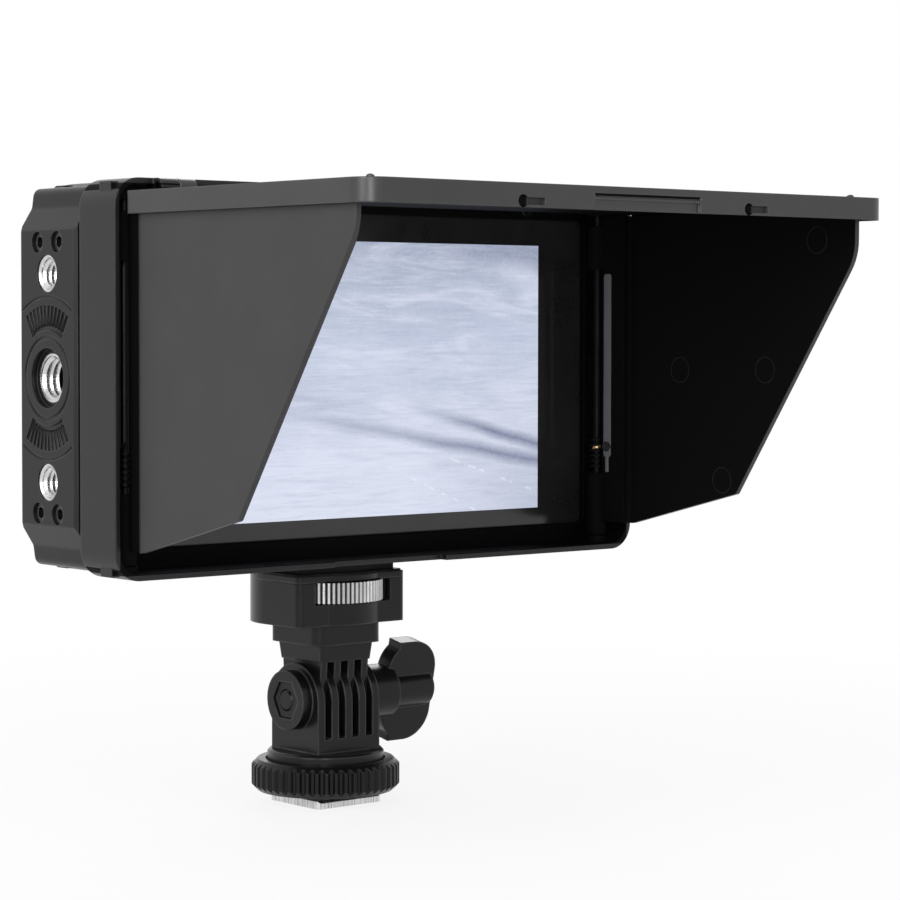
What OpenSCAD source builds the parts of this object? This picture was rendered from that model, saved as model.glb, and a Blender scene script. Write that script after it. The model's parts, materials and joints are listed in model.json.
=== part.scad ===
// Camera field monitor with a folding sun hood, on a tilting shoe mount.
// Millimetres, Z up, the screen faces -Y. The origin is the middle of the shoe foot's underside.

/* [Screen] */
// Lit width of the screen
screen_w = 110.7; // [90:0.1:118]
// Lit height of the screen
screen_h = 62.3; // [50:0.1:66]
// How far the lit area sits below the monitor's middle
screen_drop = 1.0; // [0:0.1:3]
// Cover glass thickness
glass_t = 1.0; // [0.7:0.1:1.6]
// Printed border of the glass, left and right of the lit area
glass_side = 14.0; // [6:0.5:16]
// Printed border above and below the lit area, on the thinner side
glass_edge = 4.6; // [3:0.1:6]
// Lit panel thickness
panel_t = 1.6; // [1:0.1:2.5]

/* [Monitor] */
// Width over the two side plates
mon_w = 146.4; // [140:0.2:160]
// Height of the casing and the hood frame
mon_h = 83.6; // [80:0.2:96]
// Depth of the casing behind the hood
mon_d = 22.3; // [20:0.1:34]
// Casing wall
wall = 1.8; // [1.2:0.1:2.6]
// Depth of the long chamfers on the casing's back edges
back_ch = 4; // [1:0.5:6]
// How far those chamfers fall
back_fall = 1.8; // [0.5:0.1:3]
// Thickness of a side plate
side_t = 6.7; // [5.5:0.1:9]
// Height of a side plate's flat outer face
side_flat = 62.6; // [50:0.2:70]
// How far a side plate's ends slope in
side_slope = 3.2; // [1:0.1:4]
// Distance of the small threaded inserts from the middle of the side
insert_z = 22.2; // [18:0.1:26]
// Length of the small inserts
insert_l = 5.6; // [4:0.1:6]
// Teeth in each fan of the side plate
fan_teeth = 12; // [6:1:16]

/* [Hood frame] */
// Depth of the hood frame
frame_d = 13.3; // [11:0.1:20]
// Wall of the hood frame
frame_wall = 1.3; // [1:0.1:2]
// Corner radius of the hood frame
frame_r = 6; // [3:0.5:9]
// Thickness of the frame's rear rim
rim_t = 1.5; // [1:0.1:3]
// Half width of the finger cut-out in the bottom lip
cutout_w = 16; // [8:1:24]

/* [Hood lid] */
// Length of the lid, hinge axis to front face
lid_len = 80.3; // [60:0.1:80.8]
// Lid plate thickness
lid_t = 1.5; // [1.2:0.1:2]
// Height of the lid's skirt, plate included
skirt_h = 4.75; // [3:0.05:7]
// Skirt wall
skirt_t = 1.2; // [0.9:0.1:1.5]
// Corner radius of the lid in plan
lid_r = 5; // [2:0.5:8]
// Width of a lid hinge ear
ear_w = 4.5; // [3:0.1:6]
// Distance of the ear's outer face from the middle
ear_x = 63.5; // [50:0.5:66]

/* [Side flaps] */
// Flap thickness
flap_t = 1.3; // [1:0.1:1.4]
// Length of the left flap's top edge, in front of the hood frame
flap_len = 76.5; // [55:0.1:77]
// How much shorter the right flap is
flap_less = 1.9; // [0:0.1:4]
// Length of a flap's bottom edge, in front of the hood frame
flap_foot = 39; // [25:0.5:50]
// How much the flap's bottom edge rises towards the front
flap_rise = 8.5; // [4:0.1:14]
// Slope of the flap's front edge, rise over run
flap_slope = 1.5; // [1.2:0.05:2]
// Radius where that edge turns upright
flap_arc = 12; // [2:1:16]
// Hinge axis behind the frame's front edge, right flap
hinge_in = 6.0; // [5.6:0.1:6.6]
// Radius of a flap's hinge knuckle
knuckle_r = 2.4; // [2:0.1:2.6]
// Radius of the hinge pins
pin_r = 0.95; // [0.7:0.05:1.2]
// Height of the lower knuckle
knuckle_low = 14.8; // [8:0.2:20]
// Height of the upper knuckle
knuckle_top = 10.3; // [6:0.1:16]

/* [Mount] */
// Side of the square shoe foot
foot_w = 18.4; // [17.5:0.1:18.6]
// Thickness of the shoe foot
foot_t = 1.8; // [1.5:0.1:2.2]
// Gap for the camera's shoe rails
rail_gap = 1.1; // [0.8:0.1:2.4]
// Radius of the lock ring
ring_r = 17; // [13:0.5:19]
// Height of the lock ring
ring_h = 7.2; // [5:0.1:10]
// Grip flutes round the lock ring
flutes = 48; // [24:4:60]
// Width of the fork, both ways
fork_w = 17.6; // [16:0.2:22]
// Thickness of a lower fork finger
finger_t = 2; // [1.6:0.1:2.4]
// Height of the tilt axis above the fork's collar
tilt_rise = 11.8; // [11:0.1:16]
// Radius of the tilt bolt
bolt_r = 2.5; // [2:0.1:3]
// Reach of a wing from the knob's axis
wing_r = 12; // [9:0.5:15]
// How far the wing knob is turned
wing_turn = 12; // [-90:1:90]
// Height of the neck, tilt axis to swivel box
neck_h = 17.4; // [15.5:0.1:24]
// Half width of the swivel box
box_r = 15.3; // [14.5:0.1:18]
// Height of the swivel box
box_h = 10; // [8:0.1:14]
// Radius of the thumb wheel
wheel_r = 13.2; // [12:0.1:13.4]
// Height of the thumb wheel
wheel_h = 4.7; // [3.5:0.1:6]
// Ridges round the thumb wheel
ridges = 72; // [40:2:90]

/* [Clearances] */
// Radial play of turning pins and bolts
fit = 0.05; // [0.02:0.01:0.1]
// Gap beside moving flat faces
slip = 0.2; // [0.1:0.05:0.4]
// Gap between pieces that are fixed together
seat = 0.05; // [0:0.01:0.1]

/* [Hidden] */
$fn = 48;
eps = 0.01;

// mount, from the foot up
ring_z = foot_t + rail_gap;
collar_r = ring_r - 3.6;
collar_z = ring_z + ring_h - 0.9;
collar_h = 3.1;
fork_z = collar_z + collar_h;
tilt_z = fork_z + tilt_rise;
stud_r = 3.1;
pitch = (fork_w - finger_t) / 4;
slot_t = pitch - finger_t;
fin_t = slot_t - slip / 2;
fork_r = fork_w / 2;
fork_drop = 0.5;
slot_z = fork_z + 3.3;
fin_r = fork_r - 2.2;
fin_top = fork_r;
neck_low = 14.4;
neck_top = 15.3;
box_z = tilt_z + neck_h;
flange_h = 4.6;
box_front = -10.3;
box_back = 3.3;
cap_z = box_z + box_h;
cap_h = 1.9;
pad_h = 2.75;
screw_r = 3.1;
insert_r = 3.175;
mon_bottom = cap_z + cap_h + pad_h + seat;
mon_z = mon_bottom + mon_h / 2;

// monitor, front to back
frame_w = mon_w - 0.2;
frame_h = mon_h;
mon_front = -9.3;
mon_back = mon_front + mon_d;
bezel_t = 1.6;
bezel_y = mon_front - bezel_t;
frame_back = bezel_y - 0.1;
lip_y = frame_back - frame_d;
shell_w = mon_w - 2 * side_t;
glass_w = screen_w + 2 * glass_side;
glass_h = screen_h + 2 * (glass_edge + screen_drop);
panel_w = screen_w + 4;
panel_h = screen_h + 4;
screen_z = mon_z - screen_drop;
side_mid = (mon_front + mon_back - 0.3) / 2;
side_d = mon_d - 0.3;

// hood
in_w = frame_w - 2 * frame_wall;
in_h = frame_h - 2 * frame_wall;
ear_r = 1.8;
axis_z = mon_z + frame_h / 2 - ear_r;
axis_y = lip_y - 1.3;
lid_top = axis_z - 1.15;
lid_w = in_w - slip;
lid_front = axis_y - lid_len;
flap_x = lid_w / 2 - skirt_t - 0.3;
joggle = knuckle_r + 0.05;
hinge_x = flap_x - joggle;
right_y = lip_y + hinge_in;
left_y = right_y - flap_t - 0.3;
flap_top = lid_top - lid_t - slip - 0.05;
knuckle_z = mon_z - in_h / 2 + 1.6 + slip;
post_top = flap_top - 2.3;
flap_low = knuckle_z + 3.2;
bend_y = lip_y - 5.2;

// ---------- helpers ----------

// A flat shape in X and Z, pushed along +Y from y
module along_y(y, d) translate([0, y + d, 0]) rotate([90, 0, 0]) linear_extrude(d) children();

// A flat shape in Y and Z, pushed along +X from x
module along_x(x, d) translate([x, 0, 0]) rotate([90, 0, 90]) linear_extrude(d) children();

module both_sides() {
  children();
  mirror([1, 0, 0]) children();
}

module round_rect(w, h, r) {
  square([w - 2 * r, h], center = true);
  square([w, h - 2 * r], center = true);
  for (sx = [-1, 1], sy = [-1, 1]) translate([sx * (w / 2 - r), sy * (h / 2 - r)]) circle(r);
}

// A round bar along X
module bar_x(x, d, r, y = 0, z = 0) translate([x, y, z]) rotate([0, 90, 0]) cylinder(d, r, r);

// A round bar along Y
module bar_y(y, d, r, x = 0, z = 0) translate([x, y + d, z]) rotate([90, 0, 0]) cylinder(d, r, r);

// Corner points of an arc that replaces the corner at b
function corner(a, b, c, r, n = 6) =
  let (
    u = (a - b) / norm(a - b), v = (c - b) / norm(c - b),
    half = acos(u * v) / 2,
    m = b + (u + v) / norm(u + v) * r / sin(half),
    p = b + u * r / tan(half), q = b + v * r / tan(half),
    a0 = atan2(p[1] - m[1], p[0] - m[0]), a1 = atan2(q[1] - m[1], q[0] - m[0]),
    turn = a1 - a0 > 180 ? a1 - a0 - 360 : a1 - a0 < -180 ? a1 - a0 + 360 : a1 - a0
  )
  [for (i = [0 : n]) m + r * [cos(a0 + turn * i / n), sin(a0 + turn * i / n)]];

// An outline whose corners are rounded by the radii in rr
function rounded(p, rr) = [
  for (i = [0 : len(p) - 1])
    each rr[i] > 0
      ? corner(p[(i + len(p) - 1) % len(p)], p[i], p[(i + 1) % len(p)], rr[i])
      : [p[i]]
];

// A tube of wire along a path of points, round section of k sides
module wire(path, r, k = 6) {
  n = len(path);
  dirs = [for (i = [0 : n - 1]) let (d = path[min(i + 1, n - 1)] - path[max(i - 1, 0)]) d / norm(d)];
  ring = [for (i = [0 : n - 1])
    let (t = dirs[i], u0 = cross(t, abs(t[2]) > 0.9 ? [1, 0, 0] : [0, 0, 1]),
         u = u0 / norm(u0), v = cross(t, u))
    for (j = [0 : k - 1]) path[i] + r * (u * cos(360 * j / k) + v * sin(360 * j / k))];
  faces = concat(
    [[for (j = [k - 1 : -1 : 0]) j]],
    [for (i = [0 : n - 2], j = [0 : k - 1], h = [0, 1])
      let (a = i * k + j, b = i * k + (j + 1) % k, c = b + k, d = a + k) h == 0 ? [a, b, c] : [a, c, d]],
    [[for (j = [0 : k - 1]) (n - 1) * k + j]]);
  polyhedron([for (p = ring) p], [for (f = faces) [for (j = [len(f) - 1 : -1 : 0]) f[j]]]);
}

function coil(r, h, turns, z, n = 16) =
  [for (i = [0 : turns * n]) [r * cos(360 * i / n), r * sin(360 * i / n), z + h * i / (turns * n)]];

// Least gap of a coil's wire to its own next turn, measured on its points
function own_gap(p, r, apart = 12) =
  min([for (i = [0 : len(p) - apart - 1], j = [i + apart : len(p) - 1]) norm(p[i] - p[j])]) - 2 * r;

// ---------- shoe mount ----------

module shoe_foot() color("silver") difference() {
  linear_extrude(foot_t) round_rect(foot_w, foot_w, 1.2);
  // the lead-in at the front and back edges
  for (s = [-1, 1]) translate([0, s * foot_w / 2, foot_t]) rotate([45, 0, 0])
    cube([foot_w + 1, 0.7, 0.7], center = true);
}

module foot_stud() color("silver") translate([0, 0, foot_t]) {
  cylinder(fork_z - foot_t - 0.8, stud_r, stud_r);
  cylinder(0.8, stud_r + 1.4, stud_r + 1.4);
}

module lock_ring() color("#262626") difference() {
  intersection() {
    translate([0, 0, ring_z]) linear_extrude(ring_h) polygon([
      for (i = [0 : flutes - 1], k = [0 : 3])
        let (a = 360 * (i + k / 4) / flutes, r = k < 2 ? ring_r : ring_r - 0.75) r * [cos(a), sin(a)]]);
    translate([0, 0, ring_z]) {
      cylinder(1.5, ring_r - 1.4, ring_r + 0.1, $fn = 96);
      translate([0, 0, 1.5]) cylinder(ring_h - 3, ring_r + 0.1, ring_r + 0.1, $fn = 96);
      translate([0, 0, ring_h - 1.5]) cylinder(1.5, ring_r + 0.1, ring_r - 1.4, $fn = 96);
    }
  }
  translate([0, 0, ring_z - 1]) cylinder(ring_h + 2, stud_r + fit, stud_r + fit);
  translate([0, 0, ring_z - 1]) cylinder(2, stud_r + 1.8, stud_r + 1.8);
  translate([0, 0, collar_z - slip]) cylinder(2, collar_r + 0.4, collar_r + 0.4, $fn = 96);
}

module lower_fork() color("#2b2b2b") difference() {
  union() {
    translate([0, 0, collar_z]) {
      cylinder(collar_h - 0.6, collar_r, collar_r, $fn = 96);
      translate([0, 0, collar_h - 0.6]) cylinder(0.6, collar_r, collar_r - 0.6, $fn = 96);
    }
    along_x(-fork_w / 2, fork_w) fork_side();
    // round boss that holds the nut
    bar_x(-fork_w / 2 - 2.8, 3, 6.8, 0, tilt_z);
  }
  for (i = [0 : 3]) translate([-fork_w / 2 + finger_t + i * pitch, -fork_w, slot_z])
    cube([slot_t, 2 * fork_w, fork_w * 2]);
  bar_x(-fork_w, 2 * fork_w, bolt_r + fit, 0, tilt_z);
  // hex pocket for the nut
  translate([-fork_w / 2 - 3, 0, tilt_z]) rotate([0, 90, 0]) rotate(30) cylinder(3.4, 4.75, 4.75, $fn = 6);
  translate([0, 0, collar_z - 1]) cylinder(fork_z - collar_z + 0.2 + eps, stud_r + seat, stud_r + seat);
}

// Side view of the fork: straight cheeks with a round top
module fork_side() {
  translate([-fork_r, fork_z - 0.5]) square([fork_w, tilt_z - fork_drop - fork_z + 0.5]);
  translate([0, tilt_z - fork_drop]) circle(fork_r, $fn = 72);
}

module hex_nut() color("#3a3a3c") difference() {
  translate([-fork_w / 2 - 2.4, 0, tilt_z]) rotate([0, 90, 0]) rotate(30) cylinder(2.7, 4.6, 4.6, $fn = 6);
  bar_x(-fork_w, fork_w, bolt_r + fit, 0, tilt_z);
}

module tilt_washer() color("silver") difference() {
  bar_x(fork_w / 2 + seat, 0.8, 5.2, 0, tilt_z);
  bar_x(fork_w / 2 - 1, 3, bolt_r + fit, 0, tilt_z);
}

module tilt_bolt() color("#4a4a4c") {
  bar_x(-fork_w / 2 - 2.2, fork_w + 12, bolt_r, 0, tilt_z);
  // chamfered end that shows in the nut
  translate([-fork_w / 2 - 2.2, 0, tilt_z]) rotate([0, -90, 0]) cylinder(0.5, bolt_r, bolt_r - 0.5);
}

module wing_knob() color("#2b2b2b") translate([0, 0, tilt_z]) rotate([wing_turn, 0, 0]) difference() {
  union() {
    bar_x(fork_w / 2 + 1, 7.4, 6.3);
    bar_x(fork_w / 2 + 8, 12, 4.4);
    translate([fork_w / 2 + 20, 0, 0]) rotate([0, 90, 0]) cylinder(0.7, 4.4, 3.7);
    for (s = [0, 180]) rotate([s, 0, 0]) along_y(-2.15, 4.3) wing();
  }
  bar_x(fork_w / 2, 10, bolt_r + seat);
}

// One wing, with a full round outer corner
module wing() translate([fork_w / 2 + 9.7, 0]) {
  square([4.5, wing_r]);
  square([11.5, wing_r - 7]);
  translate([4.5, wing_r - 7]) circle(7, $fn = 60);
}

module upper_neck() color("#2b2b2b") difference() {
  union() {
    // four fingers that run between the fork's five
    for (i = [0 : 3])
      along_x(-fork_w / 2 + finger_t + i * pitch + (slot_t - fin_t) / 2, fin_t) {
        translate([0, tilt_z]) circle(fin_r, $fn = 72);
        polygon([[-fin_r, tilt_z], [fin_r, tilt_z], [neck_low / 2, tilt_z + fin_top + 0.3],
          [-neck_low / 2, tilt_z + fin_top + 0.3]]);
      }
    neck_body();
    translate([0, 0, box_z - flange_h]) linear_extrude(flange_h) round_rect(18.8, 18.8, 2.5);
  }
  bar_x(-fork_w, 2 * fork_w, bolt_r + fit, 0, tilt_z);
  translate([0, 0, box_z - 3]) cylinder(4, screw_r + 0.3, screw_r + 0.3);
}

// The neck narrows slightly towards the fingers
module neck_body() intersection() {
  translate([0, 0, tilt_z + fin_top]) linear_extrude(neck_h - fin_top - flange_h + 0.1)
    square([16, 16], center = true);
  along_y(-8, 16) neck_taper();
  along_x(-8, 16) neck_taper();
}

module neck_taper() polygon([
  [-neck_low / 2, tilt_z + fin_top], [neck_low / 2, tilt_z + fin_top], [neck_top / 2, box_z - flange_h + 0.2],
  [-neck_top / 2, box_z - flange_h + 0.2]]);

// Plan of the swivel box: flat face in front, round back, grown by g
module box_plan(g = 0) {
  w = box_r + g;
  y = box_front - g;
  translate([-w, y + 1.5]) square([2 * w, box_back - y - 1.5]);
  translate([-w + 1.5, y]) square([2 * w - 3, 3]);
  for (s = [-1, 1]) translate([s * (w - 1.5), y + 1.5]) circle(1.5);
  translate([0, box_back]) circle(w, $fn = 96);
}

module swivel_box() color("#2d2d2d") difference() {
  translate([0, 0, box_z]) linear_extrude(box_h) box_plan();
  // the wheel's chamber, open at the top and through the front window
  translate([0, 0, cap_z - wheel_h - 2 * slip]) {
    cylinder(box_h, wheel_r + 0.3, wheel_r + 0.3, $fn = 96);
    translate([-box_r + 4.5, -20, 0]) cube([2 * box_r - 9, 17, box_h]);
  }
  translate([0, 0, box_z - 1]) cylinder(box_h, screw_r + fit, screw_r + fit);
}

module cap_plate() color("#303030") difference() {
  union() {
    translate([0, 0, cap_z]) linear_extrude(cap_h - 0.4) box_plan();
    translate([0, 0, cap_z + cap_h - 0.4]) linear_extrude(0.4) box_plan(-0.4);
  }
  translate([0, 0, cap_z - 1]) cylinder(cap_h + 2, screw_r + 0.2, screw_r + 0.2);
}

module mount_pad() color("#1f1f1f") difference() {
  translate([0, 0, cap_z + cap_h]) linear_extrude(pad_h) box_plan(-1.6);
  translate([0, 0, cap_z + cap_h - 1]) cylinder(pad_h + 2, screw_r + 0.3, screw_r + 0.3);
  // fine grip grooves across the top
  for (i = [-5 : 5]) translate([-20, i * 2.2 - 0.3 + 1.8, mon_bottom - seat - 0.4]) cube([40, 0.6, 1]);
}

module thumb_wheel() color("#d0d0d0") difference() {
  translate([0, 0, cap_z - wheel_h - slip]) linear_extrude(wheel_h) polygon([
    for (i = [0 : ridges - 1], k = [0 : 2])
      let (a = 360 * (i + k / 3) / ridges, r = k < 2 ? wheel_r : wheel_r - 0.45) r * [cos(a), sin(a)]]);
  translate([0, 0, box_z]) cylinder(box_h + 1, screw_r, screw_r);
}

module quarter_screw() color("silver") translate([0, 0, box_z + 0.5]) {
  cylinder(mon_bottom + 5 - box_z, screw_r, screw_r);
  translate([0, 0, mon_bottom + 5 - box_z]) cylinder(0.7, screw_r, screw_r - 0.7);
}

// ---------- hood ----------

module frame_plan(g = 0) translate([0, mon_z])
  round_rect(frame_w - 2 * g, frame_h - 2 * g, max(frame_r - g, 1));

module hood_frame() color("#303030") difference() {
  union() {
    difference() {
      along_y(lip_y, frame_d) frame_plan();
      along_y(lip_y - 1, frame_d - rim_t + 1) frame_plan(frame_wall);
      along_y(lip_y, frame_d + 1) translate([0, mon_z]) round_rect(glass_w - 1, glass_h - 1, 1.5);
    }
    // ears for the lid's hinge pins
    both_sides() lid_ear();
    // ears for the flap pins, top and bottom
    flap_ears(-1, left_y);
    flap_ears(1, right_y);
    // stop ribs on the side walls
    both_sides() for (z = [flap_top - 7, mon_z - 4]) translate([in_w / 2 - 1.1, frame_back - 6, z])
      cube([1.4, 5, 8]);
    // snap tongues that reach back over the bezel
    for (s = [-1, 1], x = [-40, 40]) translate([x - 6, frame_back - 1, mon_z + s * (in_h / 2 + 0.25) - 0.5])
      cube([12, 1.3, 1]);
  }
  // finger cut-out in the bottom lip
  along_y(lip_y - 1, 3) translate([0, mon_z - frame_h / 2]) square([2 * cutout_w, 3.4], center = true);
  // catches for the lid's lower edge
  for (s = [-1, 1]) translate([s * 31 - 2.6, lip_y + 2, mon_z - frame_h / 2 - 1]) cube([5.2, 1.6, 3]);
  both_sides() bar_x(ear_x - ear_w - 10, 30, pin_r + 0.02, axis_y, axis_z);
  // relief round the lid's knuckles
  both_sides() bar_x(ear_x - ear_w - 4.2 - 2 * slip, 4.2 + 2 * slip, ear_r + 0.25, axis_y, axis_z);
  for (s = [[-1, left_y], [1, right_y]]) translate([s[0] * hinge_x, s[1], mon_z - in_h / 2 - 0.6])
    cylinder(in_h + 1.2, pin_r + 0.02, pin_r + 0.02);
  // holes of the screws that hold the frame to the bezel
  frame_screw_at() bar_y(-2, 10, 1.05);
}

// A hinge ear of the lid: a block under the top wall that ends in a round nose
module lid_ear() {
  along_x(ear_x - ear_w, ear_w) {
    translate([axis_y, axis_z]) circle(ear_r);
    translate([axis_y, axis_z - ear_r]) square([lip_y - axis_y + 2.6, 2 * ear_r]);
  }
}

module flap_ears(s, y) {
  for (top = [0, 1])
    translate([s * hinge_x, y, top ? flap_top + slip : mon_z - in_h / 2 - 0.5]) {
      h = top ? mon_z + in_h / 2 + 0.5 - flap_top - slip : knuckle_z - slip - mon_z + in_h / 2 + 0.5;
      cylinder(h, 2.6, 2.6);
      w = in_w / 2 - hinge_x + 0.4;
      translate([s > 0 ? 0 : -w, -1.4, 0]) cube([w, 4, h]);
    }
}

// Where the two frame screws go, in the rim above the glass
module frame_screw_at() for (sx = [-1, 1])
  translate([sx * 50, frame_back - rim_t, mon_z + (glass_h / 2 + in_h / 2) / 2]) children();

module hood_screws() color("#222222") frame_screw_at() {
  bar_y(-0.6, 0.6, 1.7);
  bar_y(-0.6, rim_t + 2, 0.9);
}

module lid_pins() color("silver") both_sides()
  bar_x(ear_x - ear_w - 4.3, 8.6, pin_r, axis_y, axis_z);

module hood_lid() color("#333333") difference() {
  union() {
    difference() {
      translate([0, 0, lid_top - skirt_h]) linear_extrude(skirt_h) lid_square();
      translate([0, 0, lid_top - skirt_h - 1]) linear_extrude(skirt_h + 1 - lid_t) lid_square(skirt_t, 5);
    }
    // hinge knuckles, just inside the ears
    both_sides() along_x(ear_x - ear_w - slip - 4.2, 4.2) {
      translate([axis_y, axis_z]) circle(ear_r);
      translate([axis_y - 2.6, lid_top - lid_t]) square([2.6, lid_t + 0.35]);
    }
    // nubs near the front corners
    for (s = [-1, 1]) translate([s * (lid_w / 2 - 5.6), lid_front + 6, lid_top - 0.2]) {
      cylinder(0.7, 0.8, 0.8);
      translate([0, 0, 0.7]) cylinder(0.3, 0.8, 0.45);
    }
  }
  // catch recesses in the front face: a round hole that runs into a slot
  for (s = [-1, 1]) translate([s * 31, lid_front, lid_top - 3.5]) {
    bar_y(-1, 1.7, 1.25, -2.4);
    translate([-2.4, -1, -0.7]) cube([5.6, 1.6, 1.4]);
  }
  // finger recess with a bevelled top
  translate([0, lid_front, lid_top - skirt_h]) {
    translate([-14.6, -1, -1]) cube([29.2, 1.6, 3]);
    translate([-14.6, -0.4, 2.0]) rotate([45, 0, 0]) cube([29.2, 1.2, 1.2], center = false);
  }
  both_sides() bar_x(ear_x - ear_w - 10, 30, pin_r + fit, axis_y, axis_z);
  // clearance for the frame's ears
  both_sides() translate([ear_x - ear_w - slip, axis_y - 2.4, lid_top - 8]) cube([ear_w + 2 * slip, 6, 12]);
}

// Plan of the lid: rounded at the front, square at the hinge; g insets it, open at the rear when o > 0
module lid_square(g = 0, o = 0) {
  w = lid_w - 2 * g;
  r = max(lid_r - g, 0.5);
  back = axis_y - 1.4 + o;
  translate([-w / 2, lid_front + g + r]) square([w, back - lid_front - g - r]);
  translate([-w / 2 + r, lid_front + g]) square([w - 2 * r, r + 1]);
  for (s = [-1, 1]) translate([s * (w / 2 - r), lid_front + g + r]) circle(r);
}

// Outline of a flap of length l in Y and Z
function flap_outline(l) = rounded([
  [bend_y, flap_low], [lip_y - flap_foot, flap_low + flap_rise],
  [lip_y - l, flap_low + flap_rise + (l - flap_foot) * flap_slope],
  [lip_y - l, flap_top], [bend_y, flap_top]],
  [0, 0.8, flap_arc, 0.6, 0]);

// A flap of length l, as the right one: plate, rounded step in, leaf and two knuckles on the pin at y
module flap(y, l) {
  h = flap_top - flap_low;
  along_x(flap_x - flap_t, flap_t) polygon(flap_outline(l));
  translate([hinge_x, bend_y, flap_low]) linear_extrude(h) intersection() {
    difference() {
      circle(joggle);
      circle(joggle - flap_t);
    }
    square(joggle + 1);
  }
  translate([hinge_x - flap_t / 2, bend_y + joggle - flap_t, flap_low])
    cube([flap_t, y - bend_y - joggle + flap_t - knuckle_r, h]);
  difference() {
    translate([hinge_x, y, 0]) {
      knuckle(knuckle_z, knuckle_low);
      knuckle(post_top - knuckle_top, knuckle_top);
    }
    translate([hinge_x, y, knuckle_z - 1]) cylinder(post_top - knuckle_z + 2, pin_r + fit, pin_r + fit);
  }
}

// A knuckle, with the web that joins it to the leaf
module knuckle(z, h) translate([0, 0, z]) {
  cylinder(h, knuckle_r, knuckle_r);
  low = max(0, flap_low - z);
  translate([-flap_t / 2, -knuckle_r - 0.4, low]) cube([flap_t, 1.2, h - low]);
}

// Small screw on the leaf's inner face, that holds the spring's leg
module hinge_screw_at(y) translate([hinge_x - flap_t / 2, y - 4.4, knuckle_z + knuckle_low + 6.4])
  rotate([0, -90, 0]) children();

module flap_pin(y) translate([hinge_x, y, mon_z - in_h / 2 - 0.5]) cylinder(in_h + 0.9, pin_r, pin_r);

// Torsion spring on the pin between the knuckles, with a long leg up the leaf
module flap_spring(y) {
  z0 = knuckle_z + knuckle_low + 0.9;
  z1 = post_top - knuckle_top - 0.9;
  r = pin_r + 0.75;
  c = coil(r, 7.6, 6, 0);
  echo(flap_spring_gap = own_gap(c, 0.42));
  translate([hinge_x, y, z0]) wire(concat(
    c,
    [[r + 0.05, -0.9, 8.2], [r + 0.05, -1.9, 9.0], [r + 0.05, -2.3, 10.2], [r + 0.05, -2.3, z1 - z0]]),
    0.42, 6);
}

module hinge_screw(y) hinge_screw_at(y) difference() {
  cylinder(0.7, 1.25, 1.1);
  translate([-2, -0.2, 0.4]) cube([4, 0.4, 1]);
}

module left_flap() color("#3a3a3a") mirror([1, 0, 0]) flap(left_y, flap_len);
module right_flap() color("#3a3a3a") flap(right_y, flap_len - flap_less);
module left_flap_pin() color("silver") mirror([1, 0, 0]) flap_pin(left_y);
module right_flap_pin() color("silver") flap_pin(right_y);
module left_flap_spring() color("#9a9a9a") mirror([1, 0, 0]) flap_spring(left_y);
module right_flap_spring() color("#9a9a9a") flap_spring(right_y);
module left_hinge_screw() color("#b08a50") mirror([1, 0, 0]) hinge_screw(left_y);
module right_hinge_screw() color("#b08a50") hinge_screw(right_y);

// ---------- screen ----------

module front_bezel() color("#262626") difference() {
  union() {
    along_y(bezel_y, bezel_t) translate([0, mon_z]) round_rect(shell_w + 8, mon_h - 3.4, 4);
    // rim that slips into the casing
    along_y(mon_front - 0.5, 4.5) translate([0, mon_z])
      round_rect(shell_w - 2 * wall - 2 * seat, mon_h - 2 * wall - 2 * seat, max(5 - wall, 1) + seat);
  }
  along_y(bezel_y - 1, glass_t + 1 + seat) translate([0, mon_z])
    round_rect(glass_w + 2 * seat, glass_h + 2 * seat, 2);
  along_y(bezel_y - 1, 20) translate([0, screen_z]) square([panel_w + 0.4, panel_h + 0.4], center = true);
  along_y(mon_front + 0.4, 20) translate([0, mon_z])
    round_rect(shell_w - 4 * wall, mon_h - 4 * wall, 2);
  frame_screw_at() bar_y(0, 20, 0.95);
}

module screen_glass() color([0.05, 0.05, 0.06, 0.5]) along_y(bezel_y, glass_t) translate([0, mon_z])
  round_rect(glass_w, glass_h, 2);

module lcd_panel() color("#dfe6f2") along_y(bezel_y + glass_t + 2 * seat, panel_t)
  translate([0, screen_z]) square([panel_w, panel_h], center = true);

module backlight() color("#e8e8e8") {
  y = bezel_y + glass_t + panel_t + 3 * seat;
  along_y(y, 2.4) translate([0, screen_z]) square([panel_w, panel_h], center = true);
  along_y(y + 2.3, 0.8) translate([0, screen_z]) square([panel_w - 12, 8], center = true);
}

// ---------- casing ----------

module casing_plan(g = 0) translate([0, mon_z]) round_rect(shell_w - 2 * g, mon_h - 2 * g, max(5 - g, 1));

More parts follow.
